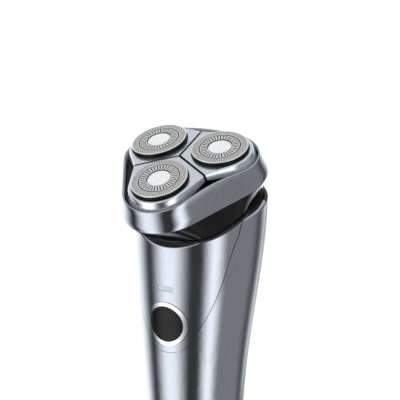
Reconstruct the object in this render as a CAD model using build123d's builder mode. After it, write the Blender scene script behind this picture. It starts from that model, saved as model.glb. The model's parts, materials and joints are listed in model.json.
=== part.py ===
from build123d import *
import os
from math import atan2, cos, degrees, pi, radians, sin, sqrt, tan

# Three-head rotary shaver. Millimetres, +Z up. The origin is the middle of the flat base of the
# handle; the front, where the power button is, faces -Y. The shaving head leans forward.

# ---- driving dimensions: shaving head -------------------------------------------------------
HEAD_TILT = 23.0          # the head plane leans this far towards the front
HEAD_Y = -10.5            # middle of the head plane
HEAD_Z = 146.0
CUTTER_PITCH = 16.4       # from the head's middle to each cutter's middle
CUTTER_LEAN = 3.6         # each cutter leans outward
LOBES = {"a": -90.0, "b": 150.0, "c": 30.0}   # direction of each cutter in the head plane
POD_GAP = 1.0             # open Y between the three pods
POD_TOP = -1.8             # the pod's face, below the foil's face
POD_FOOT = -7.0
POD_CUT_INNER = (9.5, -3.7)         # reach and height of the pod's sloping lower edge
POD_CUT_OUTER = (24.0, -7.0)
PIVOT_DEPTH = -6.4        # the pod's pivot axis, below the head plane
FOIL_RADIUS = 11.5
FLANGE_RADIUS = 12.4
CAP_RADIUS = 4.75
BLADES = 15
SKIRT_TOP = 0.0           # heights along the head's normal
SKIRT_BOTTOM = -14.0
SKIRT_TOP_LOBE = (14.0, 15.9)      # reach of the corner arcs and their radius, at the top
SKIRT_BOTTOM_LOBE = (14.5, 19.2)
SKIRT_WALL = 1.2
RIM_VALLEY = (12.05, -2.9)         # reach and height of the rim's facet over a valley
RIM_LOBE = (31.8, -5.7)
RIM_BLEND = 22.0
CARRIER_TOP = -9.1
CARRIER_THICK = 1.6

# ---- driving dimensions: neck and gears -----------------------------------------------------
NECK_TOP = -14.3
NECK_MID = -22.0
NECK_LOW = -33.0
NECK_WALL = 1.6
NECK_WIDTH = 26.4
NECK_FRONT = -25.3
NECK_BACK = 27.6
TRAY_TOP = -16.0
TRAY_THICK = 1.0
GEAR_TOP = -17.6
GEAR_THICK = 2.0
PLATE_TOP = -20.4
PLATE_THICK = 1.6
MODULE = 0.8
PINION_TEETH = 18
GEAR_TEETH = 22
SPINDLE_PITCH = MODULE * (PINION_TEETH + GEAR_TEETH) / 2
SPINDLE_RADIUS = 1.5
SLEEVE_RADIUS = 2.3
RUNNING = 0.05            # radial clearance of a running fit
MOTOR_RADIUS = 11.0
MOTOR_LENGTH = 30.0
SHAFT_RADIUS = 1.0

# ---- driving dimensions: handle -------------------------------------------------------------
HANDLE_SECTIONS = (       # height, middle of the section in Y, half depth
    (0.0, 0.0, 18.5),
    (43.0, 1.6, 22.0),
    (76.0, 3.4, 25.0),
    (111.0, 6.2, 28.3),
    (128.0, 6.4, 28.7),
    (146.0, 5.4, 27.4),
)
HANDLE_WIDTH = 0.96       # half width over half depth
BACK_FLATTEN = 0.16
WALL = 2.2
PANEL_THICK = 1.2
PANEL_TIP_Z = 65.5        # lowest point of the shield-shaped panel
PANEL_TOP_HALF = 25.9     # half its width where it meets the handle's rim
PANEL_GAP = 0.18
SHOULDER_TILT = 37.0      # slope of the handle's front rim
SHOULDER_FRONT = (-22.0, 110.6)
SHOULDER_BEND_Y = -18.0
SHOULDER_BACK_TILT = 13.0
SHOULDER_RADIUS = 46.0
RIM_ROUND = 1.2
BOARD_Y = -11.6           # rear face of the circuit board
BOARD_THICK = 1.2
SEAM_Y = 0.65             # parting of the front and rear shells, at the base
SEAM_TILT = 5.9
SEAM_GAP = 0.1            # half the width of a parting line
CAP_THICK = 3.0
BUTTON_Z = 78.0
BUTTON_RADIUS = 7.4
RING_RADIUS = 9.2
LENS_Z = 93.0
SOCKET_Y = 8.0

head = Plane(
    origin=(0, HEAD_Y, HEAD_Z),
    x_dir=(1, 0, 0),
    z_dir=(0, -sin(radians(HEAD_TILT)), cos(radians(HEAD_TILT))),
)


def lobe_plane(direction):
    """The head plane, turned so that its X axis points at one cutter."""
    a = radians(direction)
    return Plane(origin=head.origin, x_dir=head.x_dir * cos(a) + head.y_dir * sin(a), z_dir=head.z_dir)


def cutter_plane(direction):
    """Plane of one cutter's face: its Z axis is the axis that the cutter turns about."""
    lobe = lobe_plane(direction)
    lean = radians(CUTTER_LEAN)
    return Plane(
        origin=lobe.from_local_coords((CUTTER_PITCH, 0, 0)),
        x_dir=lobe.x_dir * cos(lean) - lobe.z_dir * sin(lean),
        z_dir=lobe.z_dir * cos(lean) + lobe.x_dir * sin(lean),
    )


def spindle_plane(direction):
    """Plane across one drive spindle, level with the head plane."""
    lobe = lobe_plane(direction)
    return Plane(origin=lobe.from_local_coords((SPINDLE_PITCH, 0, 0)), x_dir=lobe.x_dir, z_dir=lobe.z_dir)


def finish(piece, label):
    piece.part.label = label
    export_step(piece.part, f"parts/{label}.step")


# ---- shapes that several pieces share -------------------------------------------------------
def rounded_triangle(plane, reach, radius):
    """Three equal arcs, one over each cutter, and the straights that join them."""
    with BuildSketch(plane) as outline:
        with PolarLocations(reach, 3, start_angle=LOBES["a"]):
            Circle(radius)
        make_hull()
    return outline.sketch


def skirt_solid(inset):
    """The outside of the head's skirt, drawn in by an inset."""
    with BuildPart() as solid:
        top_reach, top_radius = SKIRT_TOP_LOBE
        low_reach, low_radius = SKIRT_BOTTOM_LOBE
        add(rounded_triangle(head.offset(SKIRT_BOTTOM), low_reach, low_radius - inset))
        add(rounded_triangle(head.offset(SKIRT_TOP), top_reach, top_radius - inset))
        loft(ruled=True)
    return solid.part


def lobe_reach(angle):
    """Distance from the head's middle to the skirt's lower edge, in one direction."""
    reach, radius = SKIRT_BOTTOM_LOBE
    off = abs((angle - LOBES["a"] + 60.0) % 120.0 - 60.0)
    arc_end = degrees(atan2(radius * sin(pi / 3), reach + radius * cos(pi / 3)))
    if off < arc_end:
        side = reach * sin(radians(off))
        return reach * cos(radians(off)) + sqrt(radius**2 - side**2)
    return (reach / 2 + radius) / cos(radians(60.0 - off))


def neck_section(height, grow):
    """Outline of the neck: the head's rounded triangle above, the handle's outline below."""
    share = (NECK_TOP - height) / (NECK_TOP - NECK_MID)
    middle = (NECK_FRONT + NECK_BACK) / 2
    points = []
    for step in range(24):
        angle = 15.0 * step
        a = radians(angle)
        top = lobe_reach(angle) - 0.3
        corner = 1 + (0.16 * sin(2 * a) ** 2 if sin(a) > 0 else 0)
        low_x = NECK_WIDTH * cos(a) * corner
        low_y = middle + (NECK_BACK - middle) * sin(a) * corner
        x = top * cos(a) * (1 - share) + low_x * share
        y = top * sin(a) * (1 - share) + low_y * share
        away = sqrt(x**2 + (y - share * middle) ** 2)
        points.append((x * (1 + grow / away), y + (y - share * middle) * grow / away))
    return points


def neck_solid(grow):
    with BuildPart() as solid:
        for height in (NECK_LOW, NECK_TOP):
            with BuildSketch(head.offset(height)):
                with BuildLine():
                    Spline(neck_section(height, grow), periodic=True)
                make_face()
        loft(ruled=True)
    return solid.part


def handle_section(middle, half_depth):
    points = []
    for step in range(20):
        a = 2 * pi * step / 20
        back = 1 - BACK_FLATTEN * max(0.0, sin(a)) ** 4
        points.append((HANDLE_WIDTH * half_depth * cos(a), middle + half_depth * back * sin(a)))
    return points


def handle_solid(inset):
    """The handle's outside, drawn in by an inset."""
    with BuildPart() as solid:
        for height, middle, half_depth in HANDLE_SECTIONS:
            with BuildSketch(Plane.XY.offset(height)):
                with BuildLine():
                    Spline(handle_section(middle, half_depth - inset), periodic=True)
                make_face()
        loft()
    return solid.part


def below_shoulder(lift):
    """Everything under the handle's sloping rim, raised by a lift."""
    slope = tan(radians(SHOULDER_TILT))
    front_y, front_z = SHOULDER_FRONT
    bend = (SHOULDER_BEND_Y, front_z + slope * (SHOULDER_BEND_Y - front_y) + lift)
    start = (-60.0, bend[1] - slope * (SHOULDER_BEND_Y + 60.0))
    with BuildPart() as block:
        with BuildSketch(Plane.YZ):
            with BuildLine():
                Line(start, bend)
                bow = JernArc(
                    start=bend,
                    tangent=(1, slope),
                    radius=SHOULDER_RADIUS,
                    arc_size=SHOULDER_BACK_TILT - SHOULDER_TILT,
                )
                end = (bow @ 1).Y + tan(radians(SHOULDER_BACK_TILT)) * (60.0 - (bow @ 1).X)
                Polyline(bow @ 1, (60.0, end), (60.0, -20.0), (-60.0, -20.0), start)
            make_face()
        extrude(amount=60.0, both=True)
    return block.part


def panel_prism(inset):
    """Shield-shaped outline of the front panel, run through the handle's front half."""
    with BuildPart() as prism:
        with BuildSketch(Plane.XZ):
            with BuildLine():
                tip = (0, PANEL_TIP_Z + inset)
                shoulder = (PANEL_TOP_HALF - inset, 124.0)
                Spline(
                    tip,
                    (10.5 - 0.6 * inset, 71.5 + 0.8 * inset),
                    (16.8 - 0.8 * inset, 84.0 + 0.6 * inset),
                    (21.1 - inset, 98.6),
                    (24.3 - inset, 113.0),
                    shoulder,
                    tangents=((1, 0), (0.12, 1)),
                )
                Polyline(shoulder, (shoulder[0], 150.0), (0, 150.0), tip)
            make_face()
            mirror(about=Plane.YZ)
        extrude(amount=40.0)
    return prism.part


def rod(plane, low, high, radius):
    """A round bar along a plane's normal, between two heights over the plane."""
    with BuildPart() as bar:
        with BuildSketch(plane.offset(low)):
            Circle(radius)
        extrude(amount=high - low)
    return bar.part


def gear_outline(plane, teeth, first_tooth):
    """Straight-flanked spur teeth, thinned for backlash."""
    pitch_radius = MODULE * teeth / 2
    root = pitch_radius - 1.2 * MODULE
    with BuildSketch(plane) as outline:
        Circle(root)
        with PolarLocations(root, teeth, start_angle=first_tooth):
            Polygon((-0.3, -0.74), (2.1 * MODULE, -0.26), (2.1 * MODULE, 0.26), (-0.3, 0.74), align=None)
    return outline.sketch


with BuildPart() as handle_blank:
    add(handle_solid(0.0))
    add(below_shoulder(0.0), mode=Mode.INTERSECT)
    rim_faces = [f for f in handle_blank.faces() if f.center().Z > 100 and f.normal_at(f.center()).Z > 0.5]
    rim_edges = [e for f in rim_faces for e in f.edges()]
    fillet([e for e in rim_edges if sum(e.is_same(other) for other in rim_edges) == 1], RIM_ROUND)
outside = handle_blank.part
panel_back = handle_solid(PANEL_THICK)
inside = handle_solid(WALL)
inside_fit = handle_solid(WALL + 0.15)
seam = Plane(
    origin=(0, SEAM_Y, 0),
    x_dir=(1, 0, 0),
    z_dir=(0, cos(radians(SEAM_TILT)), -sin(radians(SEAM_TILT))),
)
button_plane = Plane(origin=(0, 0, BUTTON_Z), x_dir=(1, 0, 0), z_dir=(0, -1, 0))
lens_plane = Plane(origin=(0, 0, LENS_Z), x_dir=(1, 0, 0), z_dir=(0, -1, 0))
motor_low = PLATE_TOP - PLATE_THICK - MOTOR_LENGTH
gear_low = GEAR_TOP - GEAR_THICK

os.makedirs("parts", exist_ok=True)

# ---- the three cutting units ----------------------------------------------------------------
for letter, direction in LOBES.items():
    face = cutter_plane(direction)
    lobe = lobe_plane(direction)
    axis_plane = Plane(origin=face.origin, x_dir=face.x_dir, z_dir=-face.y_dir)
    pivot = Plane(
        origin=lobe.from_local_coords((CUTTER_PITCH, 0, PIVOT_DEPTH)),
        x_dir=lobe.x_dir,
        z_dir=lobe.y_dir,
    )
    with BuildPart() as sector:
        with BuildSketch(lobe.offset(-20)):
            apex = POD_GAP / 2 / sin(pi / 3)
            Polygon((apex, 0), (apex + 40, 40 * tan(pi / 3)), (apex + 40, -40 * tan(pi / 3)), align=None)
        extrude(amount=30)

    # pod: silver bezel that holds one foil and rocks on its own pivot
    with BuildPart() as pod:
        for height, radius, corner in ((POD_FOOT, 14.3, 17.2), (POD_TOP, 12.9, 16.2)):
            with BuildSketch(face.offset(height)):
                Circle(radius)
                with Locations((-CUTTER_PITCH, 0)):
                    Circle(3.0)
                with Locations(*[(corner / 2 - CUTTER_PITCH, k * corner * sin(pi / 3)) for k in (-1, 1)]):
                    Circle(2.5)
                make_hull()
        loft(ruled=True)
        fillet(pod.faces().sort_by(Axis(head.origin, face.z_dir))[-1].edges(), 0.9)
        add(sector.part, mode=Mode.INTERSECT)
        rise = atan2(POD_CUT_INNER[1] - POD_CUT_OUTER[1], POD_CUT_OUTER[0] - POD_CUT_INNER[0])
        split(
            bisect_by=Plane(
                origin=lobe.from_local_coords((POD_CUT_INNER[0], 0, POD_CUT_INNER[1])),
                x_dir=lobe.y_dir,
                z_dir=lobe.z_dir * cos(rise) + lobe.x_dir * sin(rise),
            ),
            keep=Keep.TOP,
        )
        with BuildSketch(face.offset(POD_TOP)):
            Circle(FOIL_RADIUS + 0.3)
        extrude(amount=-20, mode=Mode.SUBTRACT)
        with BuildSketch(face.offset(-3.1)):
            Circle(FLANGE_RADIUS + 0.1)
        extrude(amount=-20, mode=Mode.SUBTRACT)
    finish(pod, f"pod_{letter}")

    # foil: slotted outer cutter, with a flange that the retainer holds up against the pod
    with BuildPart() as foil:
        with BuildSketch(axis_plane):
            Polygon(
                (0, -0.5), (4.95, -0.5), (4.95, -0.1), (5.1, 0), (7.95, 0), (8.05, -0.35), (8.4, -0.35),
                (8.5, 0), (11.1, 0), (FOIL_RADIUS, -0.4), (FOIL_RADIUS, -3.2), (FLANGE_RADIUS, -3.2),
                (FLANGE_RADIUS, -4.1), (10.8, -4.1), (10.8, -0.8), (5.2, -0.8), (5.2, -1.4), (0, -1.4),
                align=None,
            )
        revolve(axis=Axis(face.origin, face.z_dir))
    finish(foil, f"foil_{letter}")

    # cap: shallow dome let into the middle of the foil
    with BuildPart() as cap:
        with BuildSketch(axis_plane):
            with BuildLine():
                Polyline((0, 0.3), (0, -0.5), (CAP_RADIUS, -0.5), (CAP_RADIUS, -0.15))
                Spline((CAP_RADIUS, -0.15), (0, 0.3), tangents=((-1, 0.35), (-1, 0)))
            make_face()
        revolve(axis=Axis(face.origin, face.z_dir))
    finish(cap, f"cap_{letter}")

    # retainer: ring under the flange, with the two pivot pins pointing inward
    with BuildPart() as retainer:
        with BuildSketch(face.offset(-4.15)):
            Circle(FLANGE_RADIUS)
            Circle(10.9, mode=Mode.SUBTRACT)
        extrude(amount=-3.1)
        for side in (-1, 1):
            with BuildSketch(pivot.offset(side * 8.6)):
                Circle(1.0)
            extrude(amount=side * 2.9)
    finish(retainer, f"retainer_{letter}")

    # inner cutter: ring of lifting blades over a hub with the slot that the drive tongue enters
    with BuildPart() as cutter:
        with BuildSketch(face.offset(-4.1)):
            Circle(10.4)
        extrude(amount=0.8)
        with BuildSketch(face.offset(-3.3)):
            with PolarLocations(7.95, BLADES):
                Rectangle(5.0, 0.5)
        extrude(amount=2.4)
        with BuildSketch(face.offset(-8.2)):
            Circle(3.2)
        extrude(amount=4.1)
        with BuildSketch(face.offset(-8.2)):
            Rectangle(4.6, 2.0)
        extrude(amount=2.9, mode=Mode.SUBTRACT)
    finish(cutter, f"inner_cutter_{letter}")

    # spindle: journal, sleeve and drive tongue
    hub = spindle_plane(direction)
    with BuildPart() as spindle:
        with BuildSketch(hub.offset(PLATE_TOP - PLATE_THICK)):
            Circle(SPINDLE_RADIUS)
        extrude(amount=GEAR_TOP - PLATE_TOP + PLATE_THICK)
        with BuildSketch(hub.offset(GEAR_TOP)):
            Circle(SLEEVE_RADIUS)
        extrude(amount=-9.0 - GEAR_TOP)
        with BuildSketch(hub.offset(-9.0)):
            Rectangle(3.2, 1.1)
        extrude(amount=2.7)
    finish(spindle, f"drive_spindle_{letter}")

    # gear: pressed on the spindle, in mesh with the pinion; a space faces each pinion tooth
    pinion_step = 360.0 / PINION_TEETH
    ahead = (-direction) % pinion_step
    first_space = 180.0 - ahead * PINION_TEETH / GEAR_TEETH
    with BuildPart() as gear:
        extrude(gear_outline(hub.offset(gear_low), GEAR_TEETH, first_space + 180.0 / GEAR_TEETH), GEAR_THICK)
        with BuildSketch(hub.offset(gear_low)):
            Circle(SPINDLE_RADIUS)
            with PolarLocations(5.0, 5):
                Circle(1.5)
        extrude(amount=GEAR_THICK, mode=Mode.SUBTRACT)
    finish(gear, f"drive_gear_{letter}")

# ---- shaving head frame ---------------------------------------------------------------------
skirt_outside = skirt_solid(0.0)
skirt_inside = skirt_solid(SKIRT_WALL)

# roof: three flat facets, one over each cutter, whose soft ridges give the skirt its wavy rim
with BuildPart() as roof:
    with BuildSketch(head.offset(-20)):
        Circle(45)
    extrude(amount=20)
    for direction in LOBES.values():
        facet = lobe_plane(direction)
        fall = atan2(RIM_VALLEY[1] - RIM_LOBE[1], RIM_LOBE[0] - RIM_VALLEY[0])
        split(
            bisect_by=Plane(
                origin=facet.from_local_coords((RIM_LOBE[0], 0, RIM_LOBE[1])),
                x_dir=facet.y_dir,
                z_dir=facet.z_dir * cos(fall) + facet.x_dir * sin(fall),
            ),
            keep=Keep.BOTTOM,
        )
    ridges = [
        e for e in roof.edges().filter_by(GeomType.LINE)
        if 0.05 < abs(e.tangent_at(0.5).dot(head.z_dir)) < 0.6
    ]
    fillet(ridges, RIM_BLEND)

with BuildPart() as head_skirt:
    add(skirt_outside)
    add(skirt_inside, mode=Mode.SUBTRACT)
    add(roof.part, mode=Mode.INTERSECT)
finish(head_skirt, "head_skirt")

# carrier: black plate inside the skirt, with a pair of bored ears for each pod
carrier_low = CARRIER_TOP - CARRIER_THICK
with BuildPart() as carrier_blank:
    add(skirt_solid(SKIRT_WALL + 0.05))
    split(bisect_by=head.offset(CARRIER_TOP), keep=Keep.BOTTOM)
    split(bisect_by=head.offset(carrier_low), keep=Keep.TOP)
with BuildPart() as pod_carrier:
    add(carrier_blank.part)
    for direction in LOBES.values():
        lobe = lobe_plane(direction)
        with BuildSketch(lobe.offset(carrier_low)):
            with Locations(*[(CUTTER_PITCH, side * 9.4) for side in (-1, 1)]):
                Rectangle(3.6, 1.2)
        extrude(amount=-4.7 - carrier_low)
        with BuildSketch(Plane(origin=lobe.from_local_coords((CUTTER_PITCH, -12, PIVOT_DEPTH)),
                               x_dir=lobe.x_dir, z_dir=lobe.y_dir)):
            Circle(1.0 + RUNNING)
        extrude(amount=24, mode=Mode.SUBTRACT)
        with BuildSketch(spindle_plane(direction).offset(CARRIER_TOP)):
            Circle(SLEEVE_RADIUS + 1.2)
        extrude(amount=-CARRIER_THICK, mode=Mode.SUBTRACT)
finish(pod_carrier, "pod_carrier")

# ---- neck, gear train and motor -------------------------------------------------------------
neck_outside = neck_solid(0.0)
neck_inside = neck_solid(-NECK_WALL)
neck_ledge = neck_solid(-NECK_WALL - 1.8)
neck_flange = neck_solid(0.7)
plate_low = PLATE_TOP - PLATE_THICK
with BuildPart() as neck_chamber:
    add(neck_inside)
    split(bisect_by=head.offset(plate_low), keep=Keep.TOP)
with BuildPart() as neck_housing:
    add(neck_outside)
    add(below_shoulder(2.2), mode=Mode.SUBTRACT)
    add(neck_chamber.part, mode=Mode.SUBTRACT)
    add(neck_ledge, mode=Mode.SUBTRACT)
finish(neck_housing, "neck_housing")

# hair tray: floor of the hair chamber, with a hole for each spindle
with BuildPart() as hair_tray:
    add(neck_solid(-NECK_WALL - 0.1))
    split(bisect_by=head.offset(TRAY_TOP), keep=Keep.BOTTOM)
    split(bisect_by=head.offset(TRAY_TOP - TRAY_THICK), keep=Keep.TOP)
    for direction in LOBES.values():
        with BuildSketch(spindle_plane(direction).offset(TRAY_TOP)):
            Circle(SLEEVE_RADIUS + RUNNING)
        extrude(amount=-TRAY_THICK, mode=Mode.SUBTRACT)
finish(hair_tray, "hair_tray")

# gear plate: carries the spindles and the motor
screw_spots = [(9.6 * cos(radians(a)), 9.6 * sin(radians(a))) for a in (-30, 90, 210)]
with BuildPart() as gear_plate:
    add(neck_solid(-NECK_WALL - 0.1))
    add(below_shoulder(0.2) - inside_fit, mode=Mode.SUBTRACT)
    split(bisect_by=head.offset(PLATE_TOP), keep=Keep.BOTTOM)
    split(bisect_by=head.offset(plate_low), keep=Keep.TOP)
    for direction in LOBES.values():
        with BuildSketch(spindle_plane(direction).offset(PLATE_TOP)):
            Circle(SPINDLE_RADIUS + RUNNING)
        extrude(amount=-PLATE_THICK, mode=Mode.SUBTRACT)
    with BuildSketch(head.offset(PLATE_TOP)):
        Circle(2.2)
    extrude(amount=-PLATE_THICK, mode=Mode.SUBTRACT)
    with Locations(head.offset(PLATE_TOP)):
        with Locations(*screw_spots):
            CounterSinkHole(radius=1.0, counter_sink_radius=1.9, depth=PLATE_THICK)
finish(gear_plate, "gear_plate")

# motor screws: three flat-headed screws from the gear plate into the motor's end
with BuildPart() as motor_screws:
    for x, y in screw_spots:
        middle = Plane(origin=head.from_local_coords((x, y, 0)), x_dir=head.x_dir, z_dir=head.z_dir)
        with BuildSketch(middle.offset(PLATE_TOP - 3.6)):
            Circle(0.9)
        extrude(amount=3.6)
        with BuildSketch(middle.offset(PLATE_TOP - 0.9)):
            Circle(0.9)
        with BuildSketch(middle.offset(PLATE_TOP - 0.05)):
            Circle(1.7)
        loft()
finish(motor_screws, "motor_screws")

# motor can: deep-drawn can with an end plate; the rotor turns inside it
with BuildPart() as motor_can:
    with BuildSketch(head.offset(motor_low)):
        Circle(MOTOR_RADIUS)
    extrude(amount=MOTOR_LENGTH)
    fillet(motor_can.faces().sort_by(Axis(head.origin, head.z_dir))[0].edges(), 1.5)
    with BuildSketch(head.offset(motor_low + 2.5)):
        Circle(MOTOR_RADIUS - 1.0)
    extrude(amount=MOTOR_LENGTH - 5.0, mode=Mode.SUBTRACT)
    with BuildSketch(head.offset(motor_low + 1.0)):
        Circle(SHAFT_RADIUS + RUNNING)
    extrude(amount=MOTOR_LENGTH, mode=Mode.SUBTRACT)
    for x, y in screw_spots:
        middle = Plane(origin=head.from_local_coords((x, y, 0)), x_dir=head.x_dir, z_dir=head.z_dir)
        with BuildSketch(middle.offset(plate_low - 2.5)):
            Circle(0.95)
        extrude(amount=2.5, mode=Mode.SUBTRACT)
finish(motor_can, "motor_can")

# rotor: shaft with its wound core, held in the can's two bores
with BuildPart() as motor_rotor:
    with BuildSketch(head.offset(motor_low + 1.2)):
        Circle(SHAFT_RADIUS)
    extrude(amount=GEAR_TOP - motor_low - 1.2)
    with BuildSketch(head.offset(motor_low + 5.0)):
        Circle(8.2)
    extrude(amount=18.0)
    with BuildSketch(head.offset(motor_low + 5.0)):
        with PolarLocations(8.4, 5, start_angle=36):
            Rectangle(5.0, 1.6)
    extrude(amount=18.0, mode=Mode.SUBTRACT)
finish(motor_rotor, "motor_rotor")

with BuildPart() as motor_pinion:
    extrude(gear_outline(head.offset(gear_low), PINION_TEETH, 0.0), GEAR_THICK)
    with BuildSketch(head.offset(gear_low)):
        Circle(SHAFT_RADIUS)
    extrude(amount=GEAR_THICK, mode=Mode.SUBTRACT)
finish(motor_pinion, "motor_pinion")

# collar: deck that closes the handle's top, with the grey ring seen round the neck
with BuildPart() as plate_room:
    add(neck_solid(-NECK_WALL))
    split(bisect_by=head.offset(plate_low - 0.2), keep=Keep.TOP)
with BuildPart() as collar_plug:
    add(inside_fit)
    add(below_shoulder(0.3), mode=Mode.INTERSECT)
    add(below_shoulder(-2.6), mode=Mode.SUBTRACT)
with BuildPart() as neck_collar:
    add(neck_flange)
    add(below_shoulder(1.8), mode=Mode.INTERSECT)
    add(below_shoulder(0.3), mode=Mode.SUBTRACT)
    add(collar_plug.part)
    add(plate_room.part, mode=Mode.SUBTRACT)
    add(rod(head, motor_low, 0, MOTOR_RADIUS + 0.5), mode=Mode.SUBTRACT)
finish(neck_collar, "neck_collar")

# ---- handle ---------------------------------------------------------------------------------
with BuildPart() as front_shell:
    add(outside)
    split(bisect_by=seam.offset(-SEAM_GAP), keep=Keep.BOTTOM)
    split(bisect_by=Plane.XY.offset(CAP_THICK + 0.15), keep=Keep.TOP)
    add(inside, mode=Mode.SUBTRACT)
    add(panel_prism(0.0) - panel_back, mode=Mode.SUBTRACT)
    add(rod(button_plane, 10, 40, RING_RADIUS + 0.1), mode=Mode.SUBTRACT)
    with BuildSketch(lens_plane.offset(10)):
        SlotOverall(7.2, 2.2)
    extrude(amount=30, mode=Mode.SUBTRACT)
finish(front_shell, "front_shell")

with BuildPart() as front_panel:
    add(outside)
    add(panel_prism(PANEL_GAP), mode=Mode.INTERSECT)
    add(panel_back, mode=Mode.SUBTRACT)
    add(rod(button_plane, 10, 40, RING_RADIUS + 0.1), mode=Mode.SUBTRACT)
    with BuildSketch(lens_plane.offset(10)):
        SlotOverall(7.2, 2.2)
    extrude(amount=30, mode=Mode.SUBTRACT)
finish(front_panel, "front_panel")

with BuildPart() as rear_shell:
    add(outside)
    split(bisect_by=seam.offset(SEAM_GAP), keep=Keep.TOP)
    split(bisect_by=Plane.XY.offset(CAP_THICK + 0.15), keep=Keep.TOP)
    add(inside, mode=Mode.SUBTRACT)
finish(rear_shell, "rear_shell")

# bottom cap: flat base with a lip inside the shells and the slot of the charging inlet
with BuildPart() as cap_lip:
    add(inside_fit)
    add(handle_solid(WALL + 1.6), mode=Mode.SUBTRACT)
    split(bisect_by=Plane.XY.offset(CAP_THICK + 3.5), keep=Keep.BOTTOM)
    split(bisect_by=Plane.XY.offset(CAP_THICK - 0.5), keep=Keep.TOP)
with BuildPart() as bottom_cap:
    add(outside)
    split(bisect_by=Plane.XY.offset(CAP_THICK), keep=Keep.BOTTOM)
    fillet(bottom_cap.faces().sort_by(Axis.Z)[0].edges(), 1.2)
    add(cap_lip.part)
    with BuildSketch(Plane.XY):
        with Locations((0, SOCKET_Y)):
            SlotOverall(9.4, 3.7)
    extrude(amount=CAP_THICK, mode=Mode.SUBTRACT)
finish(bottom_cap, "bottom_cap")

with BuildPart() as charge_socket:
    with BuildSketch(Plane.XY.offset(0.6)):
        with Locations((0, SOCKET_Y)):
            SlotOverall(8.9, 3.2)
            SlotOverall(8.3, 2.6, mode=Mode.SUBTRACT)
    extrude(amount=7.0)
    with BuildSketch(Plane.XY.offset(6.6)):
        with Locations((0, SOCKET_Y)):
            SlotOverall(8.9, 3.2)
    extrude(amount=1.0)
    with BuildSketch(Plane.XY.offset(1.6)):
        with Locations((0, SOCKET_Y)):
            Rectangle(6.4, 0.7)
    extrude(amount=5.2)
finish(charge_socket, "charge_socket")

# power button: its face follows the handle; a bright ring surrounds it
with BuildPart() as button_ring:
    add(handle_solid(-0.4))
    add(handle_solid(WALL), mode=Mode.SUBTRACT)
    add(rod(button_plane, 10, 40, RING_RADIUS), mode=Mode.INTERSECT)
    add(rod(button_plane, 10, 40, BUTTON_RADIUS + 0.2), mode=Mode.SUBTRACT)
finish(button_ring, "button_ring")

with BuildPart() as power_button:
    add(outside)
    add(rod(button_plane, 17.0, 40, BUTTON_RADIUS), mode=Mode.INTERSECT)
    add(rod(button_plane, 15.2, 17.0, 1.5))
finish(power_button, "power_button")

with BuildPart() as light_lens:
    add(handle_solid(0.1))
    add(handle_solid(WALL), mode=Mode.SUBTRACT)
    with BuildSketch(lens_plane.offset(10)):
        SlotOverall(7.0, 2.0)
    extrude(amount=30, mode=Mode.INTERSECT)
finish(light_lens, "light_lens")

# ---- inside the handle ----------------------------------------------------------------------
with BuildPart() as circuit_board:
    with BuildSketch(Plane.XZ.offset(-BOARD_Y)):
        with Locations((0, 64)):
            RectangleRounded(20, 66, 1.5)
        with Locations(*[(x, z) for x in (-7.5, 7.5) for z in (36, 92)]):
            Circle(1.1, mode=Mode.SUBTRACT)
    extrude(amount=BOARD_THICK)
finish(circuit_board, "circuit_board")

with BuildPart() as button_switch:
    with BuildSketch(Plane.XZ.offset(BOARD_THICK - BOARD_Y)):
        with Locations((0, BUTTON_Z)):
            Rectangle(6, 6)
    extrude(amount=1.2)
    fillet(button_switch.edges().filter_by(Axis.Y), 0.6)
finish(button_switch, "button_switch")

with BuildPart() as battery:
    with BuildSketch(Plane.XY.offset(14)):
        with Locations((0, -2.5)):
            Circle(7.0)
    extrude(amount=49)
    fillet(battery.edges().filter_by(GeomType.CIRCLE), 0.6)
    with BuildSketch(Plane.XY.offset(63)):
        with Locations((0, -2.5)):
            Circle(2.8)
    extrude(amount=1.2)
finish(battery, "battery")

# chassis: spine behind the cell, with two cradles round it and a foot on the bottom cap's lip
with BuildPart() as chassis:
    with BuildSketch(Plane.XY.offset(9.0)):
        with Locations((0, 6.4)):
            Rectangle(20, 2.2)
    extrude(amount=64)
    for height in (18.0, 52.0):
        with BuildSketch(Plane.XY.offset(height)):
            with Locations((0, -2.5)):
                Circle(9.0)
                Circle(7.1, mode=Mode.SUBTRACT)
            with Locations((0, -10.0)):
                Rectangle(30, 11.0, mode=Mode.SUBTRACT)
        extrude(amount=7.0)
    for height in (9.0, 70.8):
        with BuildSketch(Plane.XY.offset(height)):
            with Locations((0, -1.2)):
                RectangleRounded(18, 13, 2)
        extrude(amount=2.2)
finish(chassis, "chassis")
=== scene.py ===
import json
from math import cos, pi, radians, sin

import bmesh
import bpy
from mathutils import Matrix, Vector


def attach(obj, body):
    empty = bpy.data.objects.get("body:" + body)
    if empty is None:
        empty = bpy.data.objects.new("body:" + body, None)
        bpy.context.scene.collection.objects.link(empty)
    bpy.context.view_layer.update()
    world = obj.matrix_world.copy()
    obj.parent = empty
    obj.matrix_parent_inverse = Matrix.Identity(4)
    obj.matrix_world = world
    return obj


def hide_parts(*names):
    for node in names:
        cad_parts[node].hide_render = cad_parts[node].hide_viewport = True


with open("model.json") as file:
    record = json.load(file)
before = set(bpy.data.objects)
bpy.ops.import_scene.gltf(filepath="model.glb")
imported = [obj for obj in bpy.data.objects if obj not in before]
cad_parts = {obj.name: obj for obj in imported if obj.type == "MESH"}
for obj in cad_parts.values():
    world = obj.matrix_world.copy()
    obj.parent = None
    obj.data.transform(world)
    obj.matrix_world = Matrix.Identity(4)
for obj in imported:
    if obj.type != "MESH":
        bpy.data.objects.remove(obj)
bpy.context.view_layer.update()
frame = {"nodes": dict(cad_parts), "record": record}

NODES = frame["nodes"]
MM = 0.001


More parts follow.
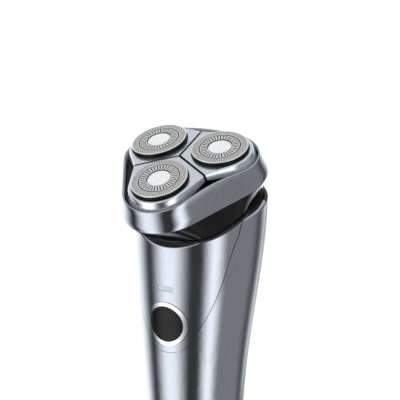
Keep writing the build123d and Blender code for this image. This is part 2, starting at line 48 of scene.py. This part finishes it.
# ---- node helpers ---------------------------------------------------------------------------
class Nodes:
    """A material's or the world's node tree, with short calls that add a node and link it."""

    def __init__(self, tree):
        self.tree = tree
        tree.nodes.clear()

    def add(self, kind, inputs=None, **settings):
        node = self.tree.nodes.new(kind)
        for name, value in settings.items():
            setattr(node, name, value)
        for name, value in (inputs or {}).items():
            if isinstance(value, bpy.types.NodeSocket):
                self.tree.links.new(value, node.inputs[name])
            else:
                node.inputs[name].default_value = value
        return node

    def math(self, operation, a, b=0.0, c=0.0):
        return self.add("ShaderNodeMath", {0: a, 1: b, 2: c}, operation=operation).outputs[0]

    def ramp(self, factor, stops, mode="EASE"):
        """A ramp of (position, value) stops, where a value is a grey or a colour."""
        node = self.add("ShaderNodeValToRGB", {"Fac": factor})
        node.color_ramp.interpolation = mode
        for index, (place, value) in enumerate(stops):
            stop = node.color_ramp.elements[index] if index < 2 else node.color_ramp.elements.new(place)
            stop.position = place
            stop.color = (value,) * 3 + (1,) if isinstance(value, (int, float)) else tuple(value) + (1,)
        return node.outputs["Color"]

    def noise(self, scale, detail=3.0, stretch=(1, 1, 1)):
        where = self.add("ShaderNodeTexCoord").outputs["Object"]
        placed = self.add("ShaderNodeMapping", {"Vector": where, "Scale": stretch})
        return self.add(
            "ShaderNodeTexNoise", {"Vector": placed.outputs[0], "Scale": scale, "Detail": detail}
        ).outputs["Fac"]


def material(name, color, metallic, rough, spread=0.04, grain=400.0, stretch=(1, 1, 1), bump=0.02,
             tint=0.06, ior=1.5):
    """Painted, plated or moulded surface: fine grain in colour, gloss and height, with faint smudges."""
    made = bpy.data.materials.new(name)
    made.use_nodes = True
    nodes = Nodes(made.node_tree)
    fine = nodes.noise(grain, 4.0, stretch)
    broad = nodes.noise(38.0, 3.0)
    # smudges: broad patches where the gloss is a little duller
    roughness = nodes.add(
        "ShaderNodeMapRange",
        {"Value": nodes.math("MULTIPLY_ADD", broad, 0.6, nodes.math("MULTIPLY", fine, 0.4)),
         "From Min": 0.25, "From Max": 0.75, "To Min": max(0.02, rough - spread), "To Max": rough + spread},
    ).outputs[0]
    dark = tuple(c * (1 - tint) for c in color)
    light = tuple(min(1.0, c * (1 + tint)) for c in color)
    base = nodes.ramp(fine, [(0.3, dark), (0.7, light)], "LINEAR")
    bumped = nodes.add(
        "ShaderNodeBump", {"Height": fine, "Strength": bump, "Distance": 0.0002}
    )
    shader = nodes.add(
        "ShaderNodeBsdfPrincipled",
        {"Base Color": base, "Metallic": metallic, "Roughness": roughness, "IOR": ior,
         "Normal": bumped.outputs[0]},
    )
    nodes.add("ShaderNodeOutputMaterial", {"Surface": shader.outputs[0]})
    return made


M = {}
M["gunmetal"] = material("gunmetal", (0.42, 0.45, 0.50), 1.0, 0.16, 0.03, 900.0, (1, 1, 0.12), 0.015, 0.03)
M["chrome"] = material("chrome", (0.40, 0.43, 0.48), 1.0, 0.10, 0.03, 700.0, (1, 1, 1), 0.01, 0.03)
M["black_gloss"] = material("black_gloss", (0.004, 0.004, 0.005), 0.0, 0.12, 0.04, 600.0, ior=1.28)
M["black_satin"] = material(
    "black_satin", (0.012, 0.012, 0.013), 0.0, 0.38, 0.06, 1800.0, bump=0.15, tint=0.2
)
M["grey_ring"] = material("grey_ring", (0.022, 0.023, 0.025), 0.3, 0.40, 0.05, 1200.0, bump=0.05)
M["silver"] = material("silver", (0.68, 0.71, 0.75), 0.95, 0.20, 0.04, 900.0, bump=0.02, tint=0.03)
M["foil"] = material("foil", (0.80, 0.785, 0.77), 1.0, 0.32, 0.05, 2500.0, bump=0.08, tint=0.08)
# painted light: the skirt's inside is a pale, nearly diffuse copy of the chrome, standing in for the bright
# silver it reflects
M["skirt_inside"] = material(
    "skirt_inside", (0.74, 0.76, 0.79), 0.1, 0.40, 0.06, 1600.0, bump=0.06, tint=0.05
)
# painted shade: a near-black mirror for the slot walls, the foil sides, the well round each cap, the groove
# and the cutters seen through the slots
M["painted_shade"] = material("painted_shade", (0.02, 0.02, 0.021), 1.0, 0.46, 0.06, 2000.0, bump=0.1, tint=0.2)
M["cap"] = material("cap", (0.97, 0.97, 0.97), 0.6, 0.30, 0.08, 1500.0, bump=0.2, tint=0.08)
M["steel"] = material("steel", (0.45, 0.45, 0.46), 1.0, 0.30, 0.06, 1500.0, (1, 1, 0.2), 0.08)
M["bright_trim"] = material("bright_trim", (0.78, 0.80, 0.84), 1.0, 0.08, 0.02, 900.0)
M["lens"] = material("lens", (0.55, 0.62, 0.66), 0.0, 0.12, 0.03, 500.0)
M["gear"] = material("gear", (0.72, 0.71, 0.67), 0.0, 0.42, 0.05, 1500.0, bump=0.08)
M["plated"] = material("plated", (0.62, 0.62, 0.63), 1.0, 0.24, 0.05, 1000.0)
M["brass"] = material("brass", (0.80, 0.58, 0.26), 1.0, 0.24, 0.05, 1200.0)
M["cell"] = material("cell", (0.04, 0.16, 0.22), 0.0, 0.30, 0.05, 700.0)
M["board"] = material("board", (0.02, 0.13, 0.05), 0.0, 0.35, 0.05, 1500.0, tint=0.2)

# the cutters under the foils take the near-black painted shade, not a steel look
SLOT_LOOK = {
    "gunmetal_shell": "gunmetal", "chrome_skirt": "chrome", "black_gloss": "black_gloss",
    "black_satin": "black_satin", "grey_ring": "grey_ring", "silver_pod": "silver", "foil_steel": "foil",
    "cap_silver": "cap", "cutter_steel": "painted_shade", "bright_trim": "bright_trim", "lens": "lens",
    "gear_plastic": "gear", "drive_black": "black_satin", "plated_steel": "plated",
    "brass_pinion": "brass", "cell_wrap": "cell", "board_green": "board", "switch_black": "black_satin",
}
NODE_SLOT = {row["node"]: row["material_slot"] for row in frame["record"]["subparts"]}
for name, obj in NODES.items():
    obj.data.materials.clear()
    obj.data.materials.append(M[SLOT_LOOK[NODE_SLOT[name]]])

# ---- pieces built here, in the same planes as the CAD solids ------------------------------------
HEAD_TILT, HEAD_Y, HEAD_Z = radians(23.0), -10.5, 146.0
CUTTER_PITCH, CUTTER_LEAN = 16.4, radians(3.6)
LOBES = {"a": -90.0, "b": 150.0, "c": 30.0}
HEAD_O = Vector((0, HEAD_Y, HEAD_Z))
HEAD_X = Vector((1, 0, 0))
HEAD_V = Vector((0, cos(HEAD_TILT), sin(HEAD_TILT)))
HEAD_N = Vector((0, -sin(HEAD_TILT), cos(HEAD_TILT)))


def cutter_frame(direction):
    """Origin and axes of one cutter's face, in millimetres."""
    a = radians(direction)
    out = HEAD_X * cos(a) + HEAD_V * sin(a)
    x = out * cos(CUTTER_LEAN) - HEAD_N * sin(CUTTER_LEAN)
    z = HEAD_N * cos(CUTTER_LEAN) + out * sin(CUTTER_LEAN)
    return HEAD_O + out * CUTTER_PITCH, x, z.cross(x), z


def solid(name, points, faces, look, body, node, angle=35.0, painted_faces=(), painted_look=None):
    """A mesh from millimetre points, smooth but for sharp edges, whose listed faces take a second look:
    painted shade on the foils, painted light inside the skirt.
    """
    made = bpy.data.meshes.new(name)
    made.from_pydata([p * MM for p in points], [], faces)
    for index in painted_faces:
        made.polygons[index].material_index = 1
    shape = bmesh.new()
    shape.from_mesh(made)
    bmesh.ops.remove_doubles(shape, verts=shape.verts, dist=1e-7)
    bmesh.ops.dissolve_degenerate(shape, edges=shape.edges, dist=1e-7)
    bmesh.ops.recalc_face_normals(shape, faces=shape.faces)
    shape.to_mesh(made)
    shape.free()
    made.shade_smooth()
    made.set_sharp_from_angle(angle=radians(angle))
    made.materials.append(M[look])
    if painted_look:
        made.materials.append(M[painted_look])
    piece = bpy.data.objects.new(name, made)
    bpy.context.scene.collection.objects.link(piece)
    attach(piece, body)
    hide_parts(node)
    return piece


# profile of a foil: radius, height, and the four ends of the two tracks of slots
FOIL_TOP = [
    (0, -0.5), (5.0, -0.5), (5.0, -0.16), (5.05, -0.05), (5.15, 0), (5.35, 0), (7.70, 0), (7.90, 0),
    (8.00, -0.05), (8.05, -0.4), (8.42, -0.4), (8.47, -0.05), (8.57, 0), (8.75, 0), (10.95, 0),
    (11.12, -0.02), (11.32, -0.10), (11.45, -0.24), (11.5, -0.42), (11.5, -3.2), (12.35, -3.2),
    (12.35, -4.05),
]
FOIL_LOW = [
    (11.05, -4.05), (11.05, -0.8), (10.95, -0.8), (8.75, -0.8), (8.55, -0.8), (8.45, -1.1), (8.02, -1.1),
    (7.92, -0.8), (7.70, -0.8), (5.35, -0.8), (5.2, -0.8), (5.2, -1.4), (0, -1.4),
]
COLUMNS = 180
SLOT_SHIFT = 0.5        # degrees that every second column moves, which makes slots narrower than ribs


def foil_piece(letter, direction):
    """The foil as a turned shell, with every slot of both tracks cut through."""
    origin, x, y, z = cutter_frame(direction)
    profile = FOIL_TOP + FOIL_LOW
    points = []
    for k in range(COLUMNS):
        a = radians(360 / COLUMNS * k + (SLOT_SHIFT if k % 2 else 0))
        around = x * cos(a) + y * sin(a)
        points += [origin + around * r + z * w for r, w in profile]
    rows = len(profile)
    tracks = []
    for low, high, is_slot in ((5.35, 7.70, lambda k: k % 5 in (1, 2)), (8.75, 10.95, lambda k: k % 2)):
        tracks.append((profile.index((low, 0)), profile.index((high, 0)),
                       profile.index((low, -0.8)), profile.index((high, -0.8)), is_slot))

    def at(k, j):
        return (k % COLUMNS) * rows + j

    faces, painted_faces = [], []
    wall = profile.index((11.45, -0.24))
    groove = profile.index((8.05, -0.4))
    # painted shade: the side, the edge of the well round the cap and the groove between the tracks take a
    # near-black look
    for k in range(COLUMNS):
        for j in range(rows - 1):
            cut = any(slot(k) and j in (top_in, low_out) for top_in, _, low_in, low_out, slot in tracks)
            if not cut:
                if j >= wall or j in (1, 2, 3, groove - 1, groove, groove + 1):
                    painted_faces.append(len(faces))
                faces.append((at(k, j), at(k + 1, j), at(k + 1, j + 1), at(k, j + 1)))
        # the walls of every slot take the painted shade too
        first = len(faces)
        for top_in, top_out, low_in, low_out, slot in tracks:
            if slot(k):
                faces.append((at(k, top_in), at(k + 1, top_in), at(k + 1, low_in), at(k, low_in)))
                faces.append((at(k, top_out), at(k, low_out), at(k + 1, low_out), at(k + 1, top_out)))
                if not slot(k - 1):
                    faces.append((at(k, top_in), at(k, low_in), at(k, low_out), at(k, top_out)))
                if not slot(k + 1):
                    faces.append(tuple(at(k + 1, j) for j in (top_in, top_out, low_out, low_in)))
        painted_faces += range(first, len(faces))
    return solid(f"slotted_foil_{letter}", points, faces, "foil", f"pod_{letter}", f"foil_{letter}",
                 painted_faces=painted_faces, painted_look="painted_shade")


def cap_piece(letter, direction):
    """The cap: a shallow dome with a rounded edge."""
    origin, x, y, z = cutter_frame(direction)
    radius, crown = 4.62, 0.42
    shares = (0, 0.12, 0.25, 0.4, 0.55, 0.7, 0.82, 0.9, 0.96, 0.99)
    profile = [(radius * s, 0.28 - crown * s**2.4) for s in shares]
    profile += [(radius, -0.2), (radius, -0.49), (0, -0.49)]
    points = []
    for k in range(96):
        around = x * cos(2 * pi * k / 96) + y * sin(2 * pi * k / 96)
        points += [origin + around * r + z * w for r, w in profile]
    rows = len(profile)
    faces = [
        (k * rows + j, (k + 1) % 96 * rows + j, (k + 1) % 96 * rows + j + 1, k * rows + j + 1)
        for k in range(96) for j in range(rows - 1)
    ]
    return solid(f"domed_cap_{letter}", points, faces, "cap", f"pod_{letter}", f"cap_{letter}")


for letter, direction in LOBES.items():
    foil_piece(letter, direction)
    cap_piece(letter, direction)

# skirt: a ruled wall between two rounded triangles, under a rim of three shallow facets
SKIRT_TOP_LOBE = (14.0, 15.9)
SKIRT_BOTTOM_LOBE = (14.5, 19.2)
SKIRT_BOTTOM = -14.0
RIM_VALLEY = (12.05, -2.9)
RIM_LOBE = (31.8, -5.7)
ARC_STEPS, SIDE_STEPS = 60, 20
RIM_SMOOTH = 6            # steps to each side over which the rim's height is averaged


def triangle(reach, radius):
    """Points and outward directions round a rounded triangle, in the head's plane."""
    found = []
    for direction in (-90.0, 30.0, 150.0):
        for step in range(ARC_STEPS):
            a = radians(direction - 60 + 120 * step / ARC_STEPS)
            d = radians(direction)
            found.append((Vector((reach * cos(d) + radius * cos(a), reach * sin(d) + radius * sin(a))),
                          Vector((cos(a), sin(a)))))
        a, d, e = radians(direction + 60), radians(direction), radians(direction + 120)
        for step in range(SIDE_STEPS):
            share = step / SIDE_STEPS
            middle = Vector((cos(d), sin(d))) * (1 - share) + Vector((cos(e), sin(e))) * share
            found.append((middle * reach + Vector((cos(a), sin(a))) * radius, Vector((cos(a), sin(a)))))
    return found


low_ring = triangle(*SKIRT_BOTTOM_LOBE)
top_ring = triangle(*SKIRT_TOP_LOBE)
fall = (RIM_VALLEY[1] - RIM_LOBE[1]) / (RIM_LOBE[0] - RIM_VALLEY[0])
rim = []
for (low, _), (top, _) in zip(low_ring, top_ring):
    heights = []
    for direction in LOBES.values():
        u = Vector((cos(radians(direction)), sin(radians(direction))))
        base, slope = low.dot(u), (top - low).dot(u) / -SKIRT_BOTTOM
        # on the wall, reach = base + slope * (h - bottom)
        # on the facet, h = lobe height + fall * (lobe reach - reach)
        level = RIM_LOBE[1] + fall * (RIM_LOBE[0] - base + slope * SKIRT_BOTTOM)
        heights.append(level / (1 + fall * slope))
    rim.append(min(heights))
count = len(rim)
near = range(-RIM_SMOOTH, RIM_SMOOTH + 1)
rim = [sum(rim[(k + d) % count] for d in near) / len(near) for k in range(count)]
# wall section: height under the rim (or over the bottom) and depth behind the outer face
RIM_SECTION = [
    (-0.30, 0.0), (-0.17, 0.04), (-0.07, 0.12), (-0.01, 0.24), (0.0, 0.36), (-0.03, 0.50), (-0.12, 0.60),
    (-0.25, 0.66), (-1.2, 0.90), (-2.5, 1.18),
]
RIM_CREST = 6             # from this point of the rim on, the wall faces inwards
WALL_SHARES = (0.25, 0.5, 0.75)
FOOT_SECTION = [(0.3, 1.2), (0.08, 1.12), (0.0, 0.9), (0.0, 0.3), (0.08, 0.09), (0.3, 0.0)]
points = []
for k in range(count):
    (low, out), (top, _) = low_ring[k], top_ring[k]
    section = [(SKIRT_BOTTOM + h, d) for h, d in FOOT_SECTION]
    section += [(SKIRT_BOTTOM + (rim[k] - SKIRT_BOTTOM) * s, 0.0) for s in WALL_SHARES]
    section += [(rim[k] + h, d) for h, d in RIM_SECTION]
    section += [(SKIRT_BOTTOM + (rim[k] - SKIRT_BOTTOM) * s, 1.2) for s in (0.5, 0.25)]
    for h, depth in section:
        share = (h - SKIRT_BOTTOM) / -SKIRT_BOTTOM
        flat = low + (top - low) * share - out * depth
        points.append(HEAD_O + HEAD_X * flat.x + HEAD_V * flat.y + HEAD_N * h)
rows = len(points) // count
faces = []
for k in range(count):
    here, there = k * rows, (k + 1) % count * rows
    for j in range(rows):
        above = (j + 1) % rows
        faces.append((here + j, there + j, there + above, here + above))
# the inside faces take the pale copy of the chrome: painted light
behind = range(len(FOOT_SECTION) + len(WALL_SHARES) + RIM_CREST, rows)
inner = [k * rows + j for k in range(count) for j in behind]
solid("skirt_shell", points, faces, "chrome", "shaving_head", "head_skirt", 60.0, inner, "skirt_inside")

# ---- stage, light and camera ----------------------------------------------------------------
AZIMUTH, ELEVATION, ROLL = 30.46, 15.27, -0.16
DISTANCE = 0.450
SENSOR = 36
LENS = 2.842 * SENSOR     # chosen with the distance, so that the perspective is the photograph's
AIM_RIGHT, AIM_DOWN = 8.24, 18.20     # millimetres from the middle of the head
az, el = radians(AZIMUTH), radians(ELEVATION)
toward = Vector((sin(az) * cos(el), -cos(az) * cos(el), sin(el)))
right = Vector((cos(az), sin(az), 0))
up = toward.cross(right)
target = (HEAD_O + right * AIM_RIGHT - up * AIM_DOWN) * MM
roll = radians(ROLL)
cam_right = right * cos(roll) + up * sin(roll)
cam_up = up * cos(roll) - right * sin(roll)
camera = bpy.data.objects.new("camera", bpy.data.cameras.new("camera"))
bpy.context.scene.collection.objects.link(camera)
camera.data.lens = LENS
camera.data.sensor_width = SENSOR
camera.data.clip_start = 0.01
camera.matrix_world = Matrix.Translation(target + toward * DISTANCE) @ Matrix(
    (cam_right, cam_up, toward)
).transposed().to_4x4()
bpy.context.scene.camera = camera
bpy.context.scene.view_settings.view_transform = "Standard"

mesh = bpy.data.meshes.new("floor")
FLOOR_RADIUS, FLOOR_SIDES, FLOOR_DROP = 9, 64, 0.0001
turns = [2 * pi * k / FLOOR_SIDES for k in range(FLOOR_SIDES)]
ring = [(FLOOR_RADIUS * cos(turn), FLOOR_RADIUS * sin(turn), -FLOOR_DROP) for turn in turns]
mesh.from_pydata(ring, [], [list(range(FLOOR_SIDES))])
floor = bpy.data.objects.new("floor", mesh)
bpy.context.scene.collection.objects.link(floor)
floor.visible_glossy = False
floor_look = bpy.data.materials.new("floor")
floor_look.use_nodes = True
nodes = Nodes(floor_look.node_tree)
speckle = nodes.noise(6.0, 2.0)
floor_shader = nodes.add(
    "ShaderNodeBsdfPrincipled",
    {"Base Color": nodes.ramp(speckle, [(0.3, 0.86), (0.7, 0.88)], "LINEAR"), "Roughness": 0.9,
     "Emission Color": (1, 1, 1, 1), "Emission Strength": 0.35},
)
nodes.add("ShaderNodeOutputMaterial", {"Surface": floor_shader.outputs[0]})
mesh.materials.append(floor_look)

# ---- studio: four tall soft boxes round the object in a dim room, under one broad light ---------------
SOFT_BOXES = (      # bearing to the camera's right, half width and soft edge in degrees, brightness
    (-55, 5, 40, 0.85),    # left key
    (30, 0, 25, 0.9),      # right key
    (80, 20, 30, 0.15),    # right fill
    (-170, 30, 40, 0.7),   # broad light behind
)
ROOM = 0.03
CEILING = (0.36, 0.37, 0.38, 1)
STRENGTH = 2.2

world = bpy.data.worlds.new("studio")
bpy.context.scene.world = world
world.use_nodes = True
nodes = Nodes(world.node_tree)
direction = nodes.add("ShaderNodeTexCoord").outputs["Generated"]
parts = nodes.add("ShaderNodeSeparateXYZ", {"Vector": direction})
bearing = nodes.math("ARCTAN2", parts.outputs["Y"], parts.outputs["X"])
glow = ROOM
for degrees_right, half_width, soft_edge, brightness in SOFT_BOXES:
    centre = az - pi / 2 + radians(degrees_right)
    turn = nodes.math("WRAP", nodes.math("SUBTRACT", bearing, centre), pi, -pi)
    box = nodes.add(
        "ShaderNodeMapRange",
        {"Value": nodes.math("ABSOLUTE", turn), "From Min": radians(half_width),
         "From Max": radians(half_width + soft_edge), "To Min": brightness, "To Max": 0.0},
        interpolation_type="SMOOTHSTEP",
    )
    glow = nodes.math("ADD", glow, box.outputs[0])
overhead = nodes.ramp(parts.outputs["Z"], [(0.16, 0.0), (0.50, 1.0)])
sky = nodes.add("ShaderNodeMixRGB", {"Fac": overhead, "Color1": glow, "Color2": CEILING})
background = nodes.add("ShaderNodeBackground", {"Color": sky.outputs[0], "Strength": STRENGTH})
nodes.add("ShaderNodeOutputWorld", {"Surface": background.outputs[0]})

lamp = bpy.data.lights.new("overhead", "AREA")
lamp.shape = "DISK"
lamp.size = 0.8
lamp.energy = 3
over = bpy.data.objects.new("overhead", lamp)
bpy.context.scene.collection.objects.link(over)
over.location = (0.1, -0.25, 1.3)
over.visible_glossy = False
